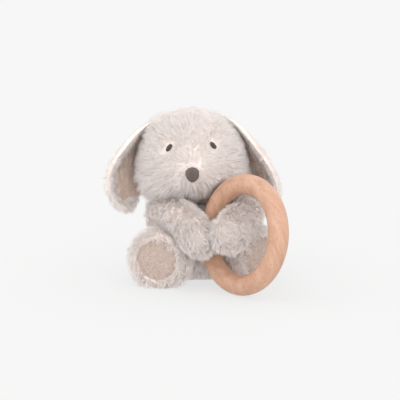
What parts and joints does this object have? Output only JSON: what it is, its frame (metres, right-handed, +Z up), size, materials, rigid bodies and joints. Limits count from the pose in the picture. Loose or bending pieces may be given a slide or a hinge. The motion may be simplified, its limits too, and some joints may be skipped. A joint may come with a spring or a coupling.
{
  "type": "plush dog with wooden ring",
  "caption": "Small seated plush puppy with floppy lined ears, stitched eyes and nose and sole pads, whose paws are sewn together round a wooden teething ring",
  "frame": {"origin": "middle of the flat seat panel, on the surface that the puppy sits on", "axes": "+Z up; the puppy's body faces -Y; +X is the puppy's own left, where the ring is"},
  "size_m": [0.1078, 0.12, 0.1011],
  "materials": {
    "plush_fur": "long soft plush pile, pale pinkish greige",
    "ear_lining": "short ribbed velour, warm beige",
    "sole_fabric": "short pebbled pile, beige",
    "embroidery": "satin-stitched thread, grey-brown",
    "stitch": "sewing thread",
    "stuffing": "polyester fibre",
    "beech": "smooth sanded beech, oiled",
    "rattle_plastic": "moulded",
    "bead": "moulded"
  },
  "bodies": {
    "torso": {"body_panel_front": "plush_fur", "body_panel_back": "plush_fur", "seat_panel": "plush_fur", "body_stuffing_front": "stuffing", "body_stuffing_back": "stuffing", "rattle_shell_upper": "rattle_plastic", "rattle_shell_lower": "rattle_plastic"},
    "bead_1": {"rattle_bead_1": "bead"},
    "bead_2": {"rattle_bead_2": "bead"},
    "bead_3": {"rattle_bead_3": "bead"},
    "neck": {"neck_stuffing": "stuffing"},
    "head": {"head_panel_left": "plush_fur", "head_panel_right": "plush_fur", "head_stuffing": "stuffing", "eye_left": "embroidery", "eye_right": "embroidery", "nose": "embroidery"},
    "ear_left": {"ear_left_outer": "plush_fur", "ear_left_lining": "ear_lining"},
    "ear_right": {"ear_right_outer": "plush_fur", "ear_right_lining": "ear_lining"},
    "arms": {"arm_left_cover": "plush_fur", "arm_left_stuffing": "stuffing", "arm_right_cover": "plush_fur", "arm_right_stuffing": "stuffing", "paw_stitch": "stitch"},
    "ring": {"ring": "beech"},
    "leg_left": {"leg_left_cover": "plush_fur", "leg_left_stuffing": "stuffing", "sole_left": "sole_fabric"},
    "leg_right": {"leg_right_cover": "plush_fur", "leg_right_stuffing": "stuffing", "sole_right": "sole_fabric"},
    "tail": {"tail_cover": "plush_fur", "tail_stuffing": "stuffing"}
  },
  "joints": [
    {"name": "head_turn", "type": "hinge", "parent": "torso", "child": "neck", "pos_m": [-0.002, -0.002, 0.034], "axis": [0, 0, 1], "range_deg": [-7, 7], "stiffness_Nm_per_rad": 0.05},
    {"name": "head_nod", "type": "hinge", "parent": "neck", "child": "head", "pos_m": [-0.002, -0.002, 0.034], "axis": [1, 0, 0], "range_deg": [-8, 2], "stiffness_Nm_per_rad": 0.2},
    {"name": "ear_left_lift", "type": "hinge", "parent": "head", "child": "ear_left", "pos_m": [0.016, -0.00274, 0.09738], "axis": [0, -1, 0], "range_deg": [0, 60]},
    {"name": "ear_right_lift", "type": "hinge", "parent": "head", "child": "ear_right", "pos_m": [-0.02653, -0.00274, 0.09515], "axis": [0, 1, 0], "range_deg": [0, 60]},
    {"name": "arms_lift", "type": "hinge", "parent": "torso", "child": "arms", "pos_m": [0, -0.008, 0.039], "axis": [-1, 0, 0], "range_deg": [0, 4]},
    {"name": "ring_spin", "type": "hinge", "parent": "arms", "child": "ring", "pos_m": [0.02603, -0.05538, 0.03519], "axis": [-0.7555, -0.634, 0.165], "continuous": true},
    {"name": "leg_left_splay", "type": "hinge", "parent": "torso", "child": "leg_left", "pos_m": [0.0135, -0.007, 0.0173], "axis": [0, 0, 1], "range_deg": [-2, 8], "stiffness_Nm_per_rad": 0.05},
    {"name": "leg_right_splay", "type": "hinge", "parent": "torso", "child": "leg_right", "pos_m": [-0.0135, -0.007, 0.0173], "axis": [0, 0, -1], "range_deg": [-1, 15], "stiffness_Nm_per_rad": 0.05},
    {"name": "tail_wag", "type": "hinge", "parent": "torso", "child": "tail", "pos_m": [0, 0.0183, 0.015], "axis": [0, 0, 1], "range_deg": [-15, 15], "stiffness_Nm_per_rad": 0.01},
    {"name": "bead_1_drop", "type": "slide", "parent": "torso", "child": "bead_1", "axis": [0, 0, 1], "range_m": [0, 0.0074]},
    {"name": "bead_2_drop", "type": "slide", "parent": "torso", "child": "bead_2", "axis": [0, 0, 1], "range_m": [0, 0.0074]},
    {"name": "bead_3_drop", "type": "slide", "parent": "torso", "child": "bead_3", "axis": [0, 0, 1], "range_m": [0, 0.0074]}
  ]
}
